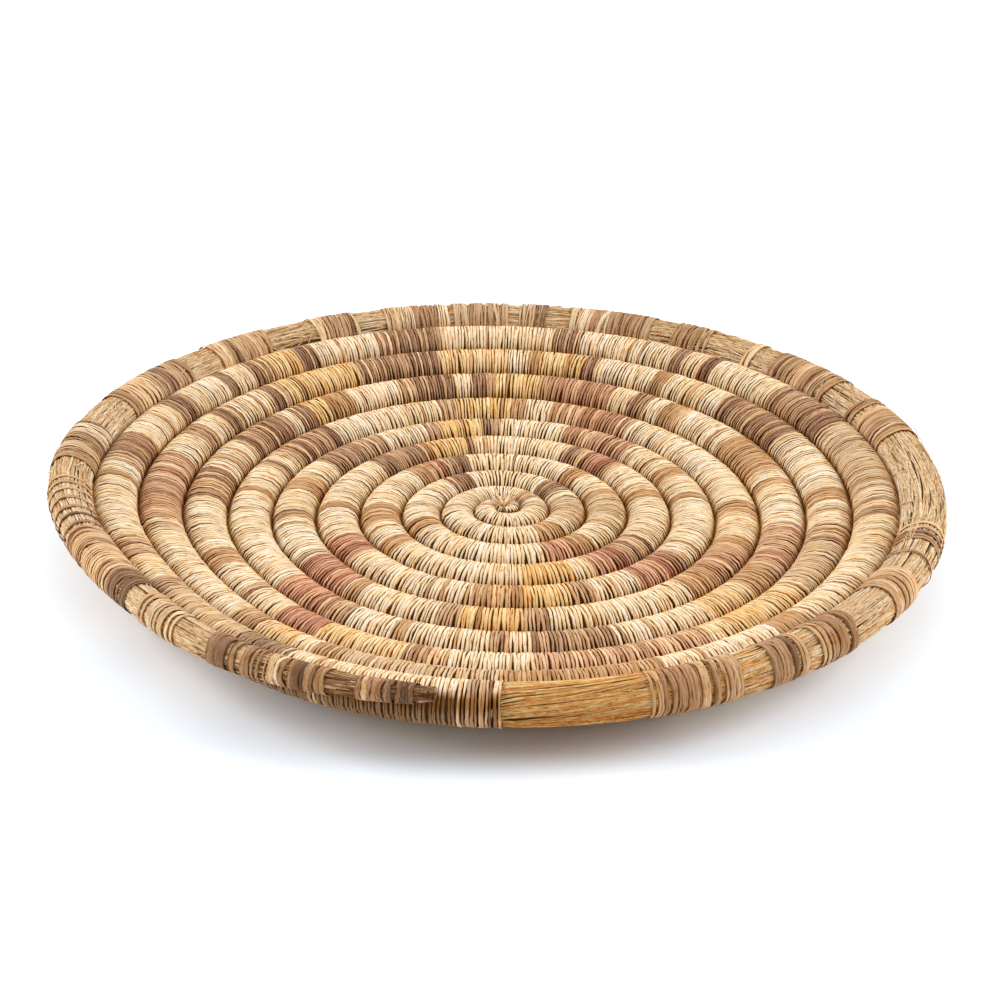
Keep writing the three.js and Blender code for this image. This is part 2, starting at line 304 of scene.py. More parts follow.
def stalk_rod(name, sides, cuts):
    """A thin rod of radius 1 and length 1 along Z, with pointed ends."""
    rod = bmesh.new()
    bmesh.ops.create_cone(rod, cap_ends=True, segments=sides, radius1=1, radius2=1, depth=1)
    long_edges = [edge for edge in rod.edges if abs(edge.verts[0].co.z - edge.verts[1].co.z) > 0.5]
    bmesh.ops.subdivide_edges(rod, edges=long_edges, cuts=cuts, use_grid_fill=True)
    around = rod.verts.layers.float.new("around")
    across = rod.verts.layers.float.new("across")
    for vert in rod.verts:
        vert[around] = vert.co.z + 0.5
        vert[across] = (math.atan2(vert.co.y, vert.co.x) / FULL_TURN) % 1
        if abs(vert.co.z) > ROD_END:
            vert.co.x *= ROD_POINT
            vert.co.y *= ROD_POINT
    for face in rod.faces:
        face.smooth = True
    mesh = bpy.data.meshes.new(name)
    rod.to_mesh(mesh)
    rod.free()
    return mesh


def finished_piece(name, shape, material):
    mesh = bpy.data.meshes.new(name)
    shape.to_mesh(mesh)
    shape.free()
    mesh.materials.append(material)
    piece = bpy.data.objects.new(name, mesh)
    bpy.context.scene.collection.objects.link(piece)
    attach(piece, "root")
    return piece


def repeated_piece(name, shape_mesh, lays, place, material):
    """Many copies of a shape as one piece. place says where a copy's vertex goes, from its lay and
    its point."""
    body = bmesh.new()
    for _ in lays:
        body.from_mesh(shape_mesh)
    dye = body.verts.layers.float_color.new("dye")
    seed = body.verts.layers.float.new("seed")
    body.verts.ensure_lookup_table()
    count = len(shape_mesh.vertices)
    for index, lay in enumerate(lays):
        for vert in body.verts[index * count:(index + 1) * count]:
            vert.co = place(lay, vert.co)
            vert[dye] = lay.colour
            vert[seed] = lay.seed
    return finished_piece(name, body, material)


# Materials

def new_group(name, inputs, outputs):
    group = bpy.data.node_groups.new(name, "ShaderNodeTree")
    for socket, value in inputs:
        made = group.interface.new_socket(socket, in_out="INPUT", socket_type="NodeSocketFloat")
        made.default_value = value
    for socket in outputs:
        group.interface.new_socket(socket, in_out="OUTPUT", socket_type="NodeSocketFloat")
    return group, group.nodes.new("NodeGroupInput"), group.nodes.new("NodeGroupOutput")


def add_node(tree, kind, settings=None, **sockets):
    """Adds a node. Its sockets take links or values. They are named with _ for a space, or with i and
    a number."""
    node = tree.nodes.new(kind)
    for key, value in (settings or {}).items():
        setattr(node, key, value)
    for key, value in sockets.items():
        numbered = key[1:].isdigit()
        target = node.inputs[int(key[1:])] if numbered else node.inputs[key.replace("_", " ")]
        if isinstance(value, bpy.types.NodeSocket):
            tree.links.new(value, target)
        else:
            target.default_value = value
    return node


def math_node(tree, operation, first, second=0.0, clamp=False):
    settings = {"operation": operation, "use_clamp": clamp}
    return add_node(tree, "ShaderNodeMath", settings, i0=first, i1=second).outputs[0]


def noise_node(tree, where, **sockets):
    return add_node(tree, "ShaderNodeTexNoise", Vector=where, **sockets).outputs["Fac"]


def range_node(tree, value, smooth=False, **sockets):
    settings = {"interpolation_type": "SMOOTHSTEP"} if smooth else {}
    return add_node(tree, "ShaderNodeMapRange", settings, Value=value, **sockets).outputs["Result"]


def place_node(tree, x, y, z):
    return add_node(tree, "ShaderNodeCombineXYZ", X=x, Y=y, Z=z).outputs[0]


def off_value(tree, value, middle):
    """How far a value is from a middle, either way."""
    return math_node(tree, "ABSOLUTE", math_node(tree, "SUBTRACT", value, middle))


def fibre_group():
    """Fibres along a strip: streaks, dark flecks and fine grain, and painted shade at its two edges."""
    group, given, gives = new_group(
        "strip fibres",
        (("Around", 0.0), ("Across", 0.0), ("Seed", 0.0), ("Length", 6.0), ("Fibres", 4.0)),
        ("Streak", "Fleck", "Grain", "Edge"))
    seed = given.outputs["Seed"]
    along = math_node(group, "MULTIPLY", given.outputs["Around"], given.outputs["Length"])
    over = math_node(group, "MULTIPLY", given.outputs["Across"], given.outputs["Fibres"])
    streak_place = place_node(group, along, over, seed)
    streak = noise_node(group, streak_place, Scale=1.6, Detail=3.0, Roughness=0.6)
    along_fleck = math_node(group, "MULTIPLY", along, 2.0)
    spot_place = place_node(group, along_fleck, over, seed)
    spot = noise_node(group, spot_place, Scale=1.1, Detail=2.0, Roughness=0.5)
    fleck = range_node(group, spot, smooth=True, From_Min=0.59, From_Max=0.65)
    over_fine = math_node(group, "MULTIPLY", over, 3.0)
    grain_place = place_node(group, along, over_fine, seed)
    grain = noise_node(group, grain_place, Scale=2.2, Detail=2.0, Roughness=0.7)
    off_middle = off_value(group, given.outputs["Across"], 0.5)
    rim = range_node(group, off_middle, smooth=True, From_Min=0.2, From_Max=0.5)
    broken = range_node(group, spot, From_Min=0.38, From_Max=0.58, To_Min=0.1, To_Max=1.4)
    edge = math_node(group, "MULTIPLY", rim, broken)
    for socket, value in (("Streak", streak), ("Fleck", fleck), ("Grain", grain), ("Edge", edge)):
        group.links.new(value, gives.inputs[socket])
    return group


def groove_shade_group():
    """Painted shade in the groove between two rounds, by how far a strip is down in it: 0 on top and
    underneath, 1 at its side. How far up the shade reaches differs from strip to strip."""
    group, given, gives = new_group("painted groove shade", (("Around", 0.0), ("Seed", 0.0)), ("Painted Shade",))
    chance = add_node(group, "ShaderNodeTexWhiteNoise", {"noise_dimensions": "1D"}, W=given.outputs["Seed"])
    reach = range_node(group, chance.outputs["Value"], To_Min=0.04, To_Max=0.14)
    from_side = off_value(group, off_value(group, given.outputs["Around"], 0.5), 0.24)
    groove_shade = range_node(group, from_side, smooth=True, From_Min=0.02, From_Max=reach, To_Min=1.0, To_Max=0.0)
    group.links.new(groove_shade, gives.inputs["Painted Shade"])
    return group


def age_group():
    """Uneven browning and dust over the whole plaque, on its own coordinates."""
    group, given, gives = new_group("age stains", (("Scale", 30.0),), ("Stain", "Dust"))
    place = add_node(group, "ShaderNodeTexCoord").outputs["Object"]
    scale = given.outputs["Scale"]
    stain = noise_node(group, place, Scale=scale, Detail=4.0, Roughness=0.65)
    spread = range_node(group, stain, From_Min=0.42, From_Max=0.72)
    dust = noise_node(group, place, Scale=math_node(group, "MULTIPLY", scale, 9.0), Detail=2.0)
    specks = range_node(group, dust, From_Min=0.55, From_Max=0.75)
    group.links.new(spread, gives.inputs["Stain"])
    group.links.new(specks, gives.inputs["Dust"])
    return group


FIBRES = fibre_group()
GROOVE_SHADE = groove_shade_group()
AGE = age_group()
UNDYED = dyed("natural", 0.6)  # what shows where the dye is rubbed off
STRIP_SHEEN = 0.12
FIBRE_HEIGHT = 0.2 * MM
GRAIN_SWING = 0.1
DUST_ROUGHNESS = 0.15  # how much rougher a strip is where dust lies on it


def new_material(name):
    material = bpy.data.materials.new(name)
    material.use_nodes = True
    material.node_tree.nodes.clear()
    return material, material.node_tree


def strip_material(name, edge=0.66, stain=0.12, streak=0.2, fleck=0.6, groove=0.42, worn=0.0, roughness=0.62,
                   length=6.0, fibres=4.0, relief=0.25, warmth=(0.52, 1.9)):
    """A split leaf strip in its own dye, with streaks and flecks along it, painted shade at its edges,
    stains, and painted shade in the groove. The values from edge to groove are how much light each takes
    away, and worn is how far the dye is rubbed off in fine lines. Warmth has the powers that red and
    blue shade are raised to."""
    material, tree = new_material(name)
    strip = {key: add_node(tree, "ShaderNodeAttribute", {"attribute_name": key})
             for key in ("dye", "around", "across", "seed")}
    around, across, seed = (strip[key].outputs["Fac"] for key in ("around", "across", "seed"))
    fibre = add_node(tree, "ShaderNodeGroup", {"node_tree": FIBRES}, Around=around, Across=across, Seed=seed,
                     Length=length, Fibres=fibres).outputs
    groove_shade = add_node(tree, "ShaderNodeGroup", {"node_tree": GROOVE_SHADE}, Around=around, Seed=seed).outputs
    age = add_node(tree, "ShaderNodeGroup", {"node_tree": AGE}).outputs
    shade = 1.0
    # edge and groove take away light as painted shade: at each strip's edges, and down in the groove between
    # rounds
    for amount, mask in ((edge, fibre["Edge"]), (fleck, fibre["Fleck"]), (groove, groove_shade["Painted Shade"]),
                         (stain, age["Stain"])):
        kept = math_node(tree, "SUBTRACT", 1.0, math_node(tree, "MULTIPLY", mask, amount))
        shade = math_node(tree, "MULTIPLY", kept, shade)
    for mask, swing in ((fibre["Streak"], streak), (fibre["Grain"], GRAIN_SWING)):
        lighter = range_node(tree, mask, From_Min=0.3, From_Max=0.7, To_Min=1 - swing, To_Max=1 + swing)
        shade = math_node(tree, "MULTIPLY", shade, lighter)
    red, blue = (math_node(tree, "POWER", shade, power) for power in warmth)
    rubbed = range_node(tree, fibre["Grain"], smooth=True, From_Min=0.5, From_Max=0.66, To_Max=worn)
    ground = add_node(tree, "ShaderNodeMix", {"data_type": "RGBA"}, i0=rubbed,
                      i6=strip["dye"].outputs["Color"], i7=UNDYED)
    colour = add_node(tree, "ShaderNodeMix", {"data_type": "RGBA", "blend_type": "MULTIPLY"}, i0=1.0,
                      i6=ground.outputs["Result"], i7=place_node(tree, red, shade, blue))
    dusty = range_node(tree, age["Dust"], To_Min=roughness, To_Max=roughness + DUST_ROUGHNESS)
    bump = add_node(tree, "ShaderNodeBump", Strength=relief, Distance=FIBRE_HEIGHT, Height=fibre["Grain"])
    surface = add_node(tree, "ShaderNodeBsdfPrincipled", Base_Color=colour.outputs["Result"],
                       Roughness=dusty, Specular_IOR_Level=STRIP_SHEEN, Normal=bump.outputs["Normal"])
    add_node(tree, "ShaderNodeOutputMaterial", Surface=surface.outputs[0])
    return material


def shaded_core_material(name, pale, deep):
    """The dark of the grass under the strips, seen only between strips: partly its own brown, partly painted
    shade.
    """
    material, tree = new_material(name)
    place = add_node(tree, "ShaderNodeTexCoord").outputs["Object"]
    stalks = noise_node(tree, place, Scale=900.0, Detail=2.0)
    colour = add_node(tree, "ShaderNodeMix", {"data_type": "RGBA"}, i0=stalks, i6=deep, i7=pale)
    surface = add_node(tree, "ShaderNodeBsdfPrincipled", Base_Color=colour.outputs["Result"], Roughness=0.9,
                       Specular_IOR_Level=0.0)
    add_node(tree, "ShaderNodeOutputMaterial", Surface=surface.outputs[0])
    return material


FINISHES = {
    "natural_strip": strip_material("natural strip", edge=0.5, fleck=0.75, warmth=(0.4, 2.3)),
    "brown_strip": strip_material("brown strip", edge=0.75, worn=0.6),
    "red_brown_strip": strip_material("red-brown strip", edge=0.7, worn=0.5),
    "red_strip": strip_material("red strip", edge=0.7, worn=0.4),
    "lashing_strip": strip_material("lashing strip", edge=0.62, streak=0.24, groove=0.1, stain=0.2, worn=0.2,
                                    roughness=0.68),
    "bare_grass": strip_material("bare grass", edge=0.48, streak=0.24, groove=0, roughness=0.55, length=14.0,
                                 fibres=3.0),
    "knot_strip": strip_material("knot strip", groove=0, roughness=0.7),
}
# the grass and straw under the strips and in the knot's hole: partly their own brown, partly painted shade
# for the gaps
SHADED_CORE_GRASS = shaded_core_material("packed grass in painted shade", (0.13, 0.064, 0.028, 1), (0.055, 0.026, 0.011, 1))
SHADED_CORE_STRAW = shaded_core_material("packed straw in painted shade", (0.17, 0.088, 0.036, 1), (0.08, 0.038, 0.015, 1))


# The sewing

STITCH_PITCH = 1.6 * MM
STITCH_ROOM = (0.7, 1.3)  # the least and the most room of a stitch, of the pitch
FIRST_ROUND_ROOM = 0.7  # the stitches of the first two rounds are closer
SECOND_ROUND_ROOM = 0.8
CLOSE_CHANCE = 0.72  # the share of stitches that touch the next
CLOSE_CHANCE_GAIN = 0.2  # how many more do at the front
CLOSE_WIDTH = (1.0, 1.25)  # of a stitch's room
THIN_WIDTH = (0.68, 0.9)
LEAST_TAPER = 0.2
MOST_TAPER = 0.8
MOST_TAPER_OUTSIDE = 0.45  # in the last sewn round, whose side shows
STITCH_SWELL = (0.978, 1.012)
STITCH_SLANT = 0.7 * MM
SLANT_SPREAD = 0.55 * MM
PLAIN_TONE = (0.52, 0.28)  # middle and spread of the paleness
DYED_TONE = 0.46
DYED_SPREAD = 0.55
DYED_EVENNESS = 0.2  # how much less the dyed strips differ at the front
FADING = 0.2  # how much paler the dyed strips are at the front, and deeper at the back
TAN_CHANCE = 0.03
RAGGED = 0.0012  # how far the border between two dyes strays, in turns
OUTER_SIDE_END = 0.3  # how far round the section the outer side goes, from underneath
# painted shade on the outer side of the last sewn node's stitches, under the tail
UNDER_TAIL_SHADE = (0.36, 0.27, 0.21, 1)

Wrap = namedtuple("Wrap", "turn width taper swell slant colour seed")


def wrapped(lay, point):
    """Lays a strip loop round the coil. It is narrower at the coil's sides, by its taper."""
    coil = coil_at(lay.turn)
    around = math.atan2(point.z, point.x)
    waver = WAVER * math.sin(3 * around + lay.seed) + FINE_WAVER * math.sin(7 * around + 5 * lay.seed)
    swing = WIDTH_SWING * math.sin(2 * around + 3 * lay.seed)
    fine_swing = FINE_WIDTH_SWING * math.sin(5 * around + lay.seed)
    width = lay.width * (1 + swing + fine_swing)
    width *= 1 - lay.taper * abs(point.x) ** TAPER_POWER
    along = point.y * width - point.x * lay.slant + waver
    return on_coil(coil, point.x * lay.swell, point.z * lay.swell, along)


def stitch_room(turn):
    finer = FIRST_ROUND_ROOM if turn < 1 else SECOND_ROUND_ROOM if turn < 2 else 1
    return STITCH_PITCH * hand.uniform(*STITCH_ROOM) * finer


def stitch(turn, room, dye):
    """One stitch: mostly close to the next, sometimes thin, and now and then of a strip that stands out."""
    angle = FULL_TURN * turn
    front = max(-math.sin(angle), 0)
    close = hand.random() < CLOSE_CHANCE + CLOSE_CHANCE_GAIN * front
    width = room * hand.uniform(*(CLOSE_WIDTH if close else THIN_WIDTH))
    most_taper = MOST_TAPER if turn < SEWING_END_TURN - 1 else MOST_TAPER_OUTSIDE
    plain = DYES[dye].finish == "natural_strip"
    if plain:
        paleness = hand.gauss(*PLAIN_TONE)
    else:
        paleness = hand.gauss(DYED_TONE - FADING * math.sin(angle), DYED_SPREAD - DYED_EVENNESS * front)
    if plain and hand.random() < TAN_CHANCE:
        dye = "tan"
    taper = hand.uniform(LEAST_TAPER, most_taper)
    swell = hand.uniform(*STITCH_SWELL)
    slant = hand.gauss(STITCH_SLANT, SLANT_SPREAD) / 2
    return Wrap(turn, width, taper, swell, slant, dyed(dye, paleness), hand.uniform(*SEEDS))


def shade_under_tail(piece):
    """Paints shade on the outer side of a piece's stitches, where the tail lies on them."""
    around = piece.data.attributes["around"].data
    dyes = piece.data.attributes["dye"].data
    for place, dye in zip(around, dyes):
        if place.value < OUTER_SIDE_END:
            dye.color = [channel * share for channel, share in zip(dye.color, UNDER_TAIL_SHADE)]


def sew_coil():
    """Sews the coil from the knot to the rim, and gives each sewn node its stitches."""
    loop = strip_loop("stitch loop", steps=14, edge_drop=0.05, crown=0.3)
    nodes = sorted(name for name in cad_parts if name.startswith("sewing_"))
    ends = [turn_of(*end) for end in SEWING_ENDS]
    by_node = {name: [] for name in nodes}
    odd = {}
    turn = COIL_START_TURN
    while turn < SEWING_END_TURN:
        room = stitch_room(turn)
        step = room / (FULL_TURN * coil_at(turn).radius)
        middle = turn + step / 2
        node = nodes[sum(end <= middle for end in ends[:-1])]
        plain_dye = node_dye(node)
        dye = sewn_dye(middle + hand.gauss(0, RAGGED), plain_dye)
        finish = DYES[dye].finish
        shelf = by_node[node] if finish == DYES[plain_dye].finish else odd.setdefault(finish, [])
        shelf.append(stitch(middle, room, dye))
        turn += step
    for name, lays in by_node.items():
        finish = DYES[node_dye(name)].finish
        piece = repeated_piece(name + "_stitches", loop, lays, wrapped, FINISHES[finish])
        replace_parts(piece, name)
        if name == nodes[-1]:
            shade_under_tail(piece)
    for finish, lays in odd.items():
        repeated_piece("odd_" + finish + "_stitches", loop, lays, wrapped, FINISHES[finish])


TUBE_SIDES = 12
TUBE_STEPS = 72  # in a turn
TUBE_TIP = 0.05
CORE_FILL = 0.965  # how much of the coil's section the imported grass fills
CORE_POINT = 0.01  # how long its pointed end is, in turns
RIM_FILL = 0.87
RIM_POINT = 0.04


def packed_tube(name, first, last, share, point, material):
    """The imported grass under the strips: a tube along the coil, drawn in to a share of its section. It
    runs out to a point over its last stretch."""
    steps = int((last - first) * TUBE_STEPS)
    tube = bmesh.new()
    bmesh.ops.create_grid(tube, x_segments=steps, y_segments=TUBE_SIDES, size=0.5)
    for vert in tube.verts:
        turn = first + (last - first) * (vert.co.x + 0.5)
        angle = FULL_TURN * vert.co.y
        coil = coil_at(turn)
        reach = share * min((last - turn) / point + TUBE_TIP, 1)
        vert.co = on_coil(coil, reach * math.cos(angle), reach * math.sin(angle))
    bmesh.ops.remove_doubles(tube, verts=tube.verts, dist=MERGE_DISTANCE)
    bmesh.ops.holes_fill(tube, edges=[edge for edge in tube.edges if edge.is_boundary])
    bmesh.ops.recalc_face_normals(tube, faces=tube.faces)
    for face in tube.faces:
        face.smooth = True
    return finished_piece(name, tube, material)


# The rim's bare grass

# Single hairs that stand off the rim: round, degree and side of the section
LOOSE_HAIRS = ((10, 3, 0.4), (10, 9, 0.9), (10, 52, 1.4))

# Bare stretches with loose straws at their inner edge: round, first degree and last degree
ROUGH_STRETCHES = ((9, 345, 374), (10, 22, 34), (10, 45, 57), (10, 63, 67), (10, 121, 129), (10, 160, 169),
                   (10, 180, 191))
GOLDEN_END_TURN = 9.84  # up to here the bare grass is golden, and then paler
BROWN_START_TURN = turn_of(10, 240)

# Stalks: spans in turns, depths and spreads as shares of the rim's section, radii in millimetres
STRAW_TONE = (0.5, 0.38)
STALK_STRETCHES = 3
STALKS_IN_STRETCH = 950
LONG_CHANCE = 0.7
LONG_SPAN = (0.05, 0.14)
SHORT_SPAN = (0.02, 0.05)
TAIL_RAGGED = 0.03  # how far short of the tail's end a stalk may stop
GOLDEN_TWIST = (11, 5)  # middle and spread, in radians for each turn of the rim
PALE_TWIST = (3, 7)
STALK_DEPTH = (0.93, 1.03)
STALK_RADIUS = (0.28, 0.6)
STALK_FLATNESS = 0.6
FRAYS_AT_LASHING_END = 6
FRAYS_AT_TAIL = 40
FRAY_STRAY = 0.003
FRAY_TAIL_STRAY = 0.015
FRAY_SPAN = (0.008, 0.02)
FRAY_SIDES = (-0.3, math.pi + 0.3)
FRAY_TWIST = 0.5
FRAY_SPREAD = (0.02, 0.16)
FRAY_RADIUS = (0.15, 0.35)
STRAWS_IN_DEGREE = 1.2
STRAW_SPAN = (0.004, 0.012)
STRAW_SIDES = (1.7, 3.1)
STRAW_TWIST = 0.7
STRAW_DEPTH = (0.98, 1.04)
STRAW_SPREAD = (0, 0.1)
STRAW_RADIUS = (0.2, 0.45)
HAIR_SPAN = 0.02
HAIR_TWIST = 0.3
HAIR_SPREAD = (0.4, 0.7)
HAIR_RADIUS = 0.13

Stalk = namedtuple("Stalk", "turn span side twist depth spread radius colour seed")


def laid_stalk(lay, point):
    """Lays a rod along the bare rim, on one side of its section. With spread, its far end stands off."""
    turn = min(max(lay.turn + point.z * lay.span, SEWING_END_TURN), TAIL_END_TURN)
    coil = coil_at(turn)
    depth = lay.depth + lay.spread * (point.z + 0.5)
    thickness = STALK_FLATNESS * point.x * lay.radius / coil.half_depth
    reach = depth * (1 - RIM_INSET / coil.half_depth) + thickness
    turned = lay.side + lay.twist * point.z + point.y * lay.radius / coil.half_depth
    return on_coil(coil, reach * math.cos(turned), reach * math.sin(turned))


def straw_dye(turn):
    dye = "straw" if turn < BROWN_START_TURN else "brown_straw"
    if turn < GOLDEN_END_TURN:
        dye = "golden_straw"
    return dyed(dye, hand.gauss(*STRAW_TONE))


def rim_stalk(first, last):
    span = hand.uniform(*(LONG_SPAN if hand.random() < LONG_CHANCE else SHORT_SPAN))
    turn = min(hand.uniform(first, last), TAIL_END_TURN - span / 2 - hand.uniform(0, TAIL_RAGGED))
    twist = span * hand.gauss(*(GOLDEN_TWIST if turn < GOLDEN_END_TURN else PALE_TWIST))
    side = hand.uniform(0, FULL_TURN)
    depth = hand.uniform(*STALK_DEPTH)
    radius = hand.uniform(*STALK_RADIUS) * MM
    return Stalk(turn, span, side, twist, depth, 0, radius, straw_dye(turn), hand.uniform(*SEEDS))


def frayed_end(turn):
    span = hand.choice((-1, 1)) * hand.uniform(*FRAY_SPAN)
    side = hand.uniform(*FRAY_SIDES)
    twist = hand.gauss(0, FRAY_TWIST)
    spread = hand.uniform(*FRAY_SPREAD)
    radius = hand.uniform(*FRAY_RADIUS) * MM
    return Stalk(turn, span, side, twist, 1.0, spread, radius, straw_dye(turn), hand.uniform(*SEEDS))


def loose_straw(turn):
    span = hand.choice((-1, 1)) * hand.uniform(*STRAW_SPAN)
    side = hand.uniform(*STRAW_SIDES)
    twist = hand.gauss(0, STRAW_TWIST)
    depth = hand.uniform(*STRAW_DEPTH)
    spread = hand.uniform(*STRAW_SPREAD)
    radius = hand.uniform(*STRAW_RADIUS) * MM
    return Stalk(turn, span, side, twist, depth, spread, radius, straw_dye(turn), hand.uniform(*SEEDS))


def loose_hair(turn, side):
    spread = hand.uniform(*HAIR_SPREAD)
    return Stalk(turn, HAIR_SPAN, side, HAIR_TWIST, 1.0, spread, HAIR_RADIUS * MM, dyed("tan", 0),
                 hand.uniform(*SEEDS))


def bare_rim():
    """The rim's bare grass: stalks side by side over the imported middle, in stretches, and loose ends."""
    rod = stalk_rod("stalk rod", sides=4, cuts=9)
    grass = FINISHES["bare_grass"]
    length = TAIL_END_TURN - SEWING_END_TURN
    ends = [SEWING_END_TURN + length * number / STALK_STRETCHES for number in range(STALK_STRETCHES + 1)]
    for number, (first, last) in enumerate(zip(ends, ends[1:]), start=1):
        lays = [rim_stalk(first, last) for _ in range(STALKS_IN_STRETCH)]
        piece = repeated_piece(f"rim_bundle_stalks_{number}", rod, lays, laid_stalk, grass)
        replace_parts(piece, "rim_bundle")
    lashed = [turn_of(round_number, degrees) for round_number, *ends, _, _ in LASHINGS for degrees in ends]
    frayed = [frayed_end(turn + hand.gauss(0, FRAY_STRAY)) for turn in lashed
              for _ in range(FRAYS_AT_LASHING_END)]
    frayed += [frayed_end(TAIL_END_TURN - hand.uniform(0, FRAY_TAIL_STRAY)) for _ in range(FRAYS_AT_TAIL)]
    for round_number, first, last in ROUGH_STRETCHES:
        straws = int(STRAWS_IN_DEGREE * (last - first))
        frayed += [loose_straw(turn_of(round_number, hand.uniform(first, last))) for _ in range(straws)]
    for round_number, degrees, side in LOOSE_HAIRS:
        frayed.append(loose_hair(turn_of(round_number, degrees), side))
    repeated_piece("rim_frayed_ends", rod, frayed, laid_stalk, grass)
    packed_tube("rim_bundle_middle", SEWING_END_TURN, TAIL_END_TURN, RIM_FILL, RIM_POINT, SHADED_CORE_STRAW)


# The rim's lashings

# Lashings round the rim that have a node: round, first degree, last degree, spacing in degrees and dye
LASHINGS = (
    (9, 288, 302, 0.62, "lashing"), (9, 304, 318, 0.72, "lashing"), (10, 14, 22, 0.6, "lashing"),
    (10, 34, 44, 0.6, "lashing"), (10, 57, 63, 0.55, "pale_lashing"), (10, 67, 80, 0.5, "pale_lashing"),
    (10, 84, 109, 0.5, "pale_lashing"), (10, 114, 121, 0.7, "pale_lashing"), (10, 129, 139, 0.6, "lashing"),
    (10, 145, 160, 0.75, "lashing"), (10, 169, 180, 0.55, "pale_lashing"), (10, 200, 217, 0.7, "lashing"),
    (10, 220, 228, 0.6, "pale_lashing"), (10, 234, 250, 0.6, "brown_lashing"),
)

# The dyes of odd wraps in a lashing of each dye
OTHER_WRAPS = {
    "lashing": ("pale_lashing", "tan", "brown_lashing"),
    "pale_lashing": ("lashing", "lashing", "brown_lashing"),
    "brown_lashing": ("lashing", "lashing", "pale_lashing"),
}

# Bare places and wraps of another dye inside a lashing: round, first degree, last degree, and dye or none
LASHING_CHANGES = (
    (9, 289, 294, "brown_lashing"), (9, 299.5, 302, None), (9, 304, 308, "brown_lashing"),
    (9, 309, 311.5, None), (10, 71.8, 73.6, "brown_lashing"), (10, 75.2, 76.6, "brown_lashing"),
    (10, 88, 89.5, None), (10, 98.2, 99.2, None), (10, 101, 104.5, "brown_lashing"),
    (10, 212.5, 217, "brown_lashing"), (10, 220, 221.5, "lashing"), (10, 237.6, 243.6, "lashing"),
    (10, 238.4, 239.2, None), (10, 240, 240.8, None), (10, 241.6, 242.4, None),
)

# Single wraps and small groups between the lashings: round, first degree, last degree, spacing and dye
STRAY_WRAPS = (
    (9, 326, 332, 0.7, "lashing"), (9, 337, 337.5, 0.5, "lashing"), (9, 341, 345, 1.4, "lashing"),
    (10, 23.5, 25, 0.7, "lashing"), (10, 32, 33.4, 0.6, "lashing"), (10, 48.3, 49.5, 0.6, "pale_lashing"),
    (10, 185, 200, 3.2, "lashing"), (10, 254, 260.5, 0.6, "brown_lashing"),
)
WRAP_ROOM = (0.4, 1.15)  # of the spacing
SPACED_CHANCE = 0.12  # how many wraps leave a gap beside them
PALE_SPACED_CHANCE = 0.6
SPACED_WIDTH = (0.62, 1.0)  # of a wrap's room
LAPPED_WIDTH = (1.15, 1.7)
WIDEST_WRAP = 2.4 * MM
ODD_CHANCE = 0.2  # how many wraps are of another dye
PALE_ODD_CHANCE = 0.28
FIRST_TONE = (0.2, 0.8)
TONE_STEP = 0.3  # how much the paleness changes from wrap to wrap
LEAST_TONE = -0.2
MOST_TONE = 1.2
WRAP_SWELL = (0.97, 1.0)
SINGLE_WRAP_SWELL = 0.95
WRAP_SLANT_SPREAD = 1.6 * MM


def wraps_between(round_number, first, last, spacing, dye):
    """A lashing: flat strips of uneven width that lie partly over each other."""
    pale = dye == "pale_lashing"
    spaced_chance = PALE_SPACED_CHANCE if pale else SPACED_CHANCE
    odd_chance = PALE_ODD_CHANCE if pale else ODD_CHANCE
    lays = []
    degrees = first
    tone = hand.uniform(*FIRST_TONE)
    while degrees < last:
        room = spacing * hand.uniform(*WRAP_ROOM)
        turn = turn_of(round_number, degrees + room / 2)
        width = room / 360 * FULL_TURN * coil_at(turn).radius
        spaced = hand.random() < spaced_chance
        width = min(width * hand.uniform(*(SPACED_WIDTH if spaced else LAPPED_WIDTH)), WIDEST_WRAP)
        other = hand.choice(OTHER_WRAPS[dye]) if hand.random() < odd_chance else dye
        tone = min(max(tone + hand.gauss(0, TONE_STEP), LEAST_TONE), MOST_TONE)
        for changed_round, start, stop, change in LASHING_CHANGES:
            if changed_round == round_number and start <= degrees < stop:
                other = change
        degrees += room
        if other is None:
            continue
        swell = hand.uniform(*WRAP_SWELL) if spacing < 1 else SINGLE_WRAP_SWELL
        slant = hand.gauss(STITCH_SLANT, WRAP_SLANT_SPREAD) / 2
        lays.append(Wrap(turn, width, 0, swell, slant, dyed(other, tone), hand.uniform(*SEEDS)))
    return lays


def lash_rim():
    loop = strip_loop("lashing loop", steps=20, edge_drop=0.022, crown=0.38)
    finish = "lashing_strip"
    for number, lashing in enumerate(LASHINGS, start=1):
        node = f"rim_lashing_{number:02d}"
        lays = wraps_between(*lashing)
        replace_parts(repeated_piece(node + "_wraps", loop, lays, wrapped, FINISHES[finish]), node)
    strays = [lay for group in STRAY_WRAPS for lay in wraps_between(*group)]
    repeated_piece("rim_stray_wraps", loop, strays, wrapped, FINISHES[finish])


# The knot, in millimetres from its middle

# Folded strip ends at the knot's back: near end, far end, how far the near end is sunk, width, lift and tilt
KNOT_FOLDS = (
    ((-0.2, 0.8), (-4.4, 8.8), 2.6, 3.2, 1.7, 0.5), ((0.3, 0.9), (4.8, 9.2), 2.6, 3.2, 1.8, -0.5),
)

# The funnel's radius and depth under the top, from its middle outwards
FUNNEL_PROFILE = ((0.0, 4.2), (0.8, 3.4), (1.5, 2.2), (2.1, 1.4), (2.7, 1.8))
FUNNEL_STEPS = 28
PETALS = 12
PETAL_STRAY = 0.3
PETAL_NEAR = (0.5, 0.9)
PETAL_FAR = (3.0, 4.2)
PETAL_SUNK = 3.2
PETAL_WIDTH = (0.8, 1.3)
PETAL_LIFT = (-0.5, -0.1)
PETAL_WHIRL = 0.25  # how far a lining strip turns on its way out, in radians
PETAL_TONE = (0.4, 0.35)
PETAL_DROP = 1.9 * MM
PETAL_THICKNESS = 0.2 * MM

Petal = namedtuple("Petal", "near far sunk width lift tilt colour seed")


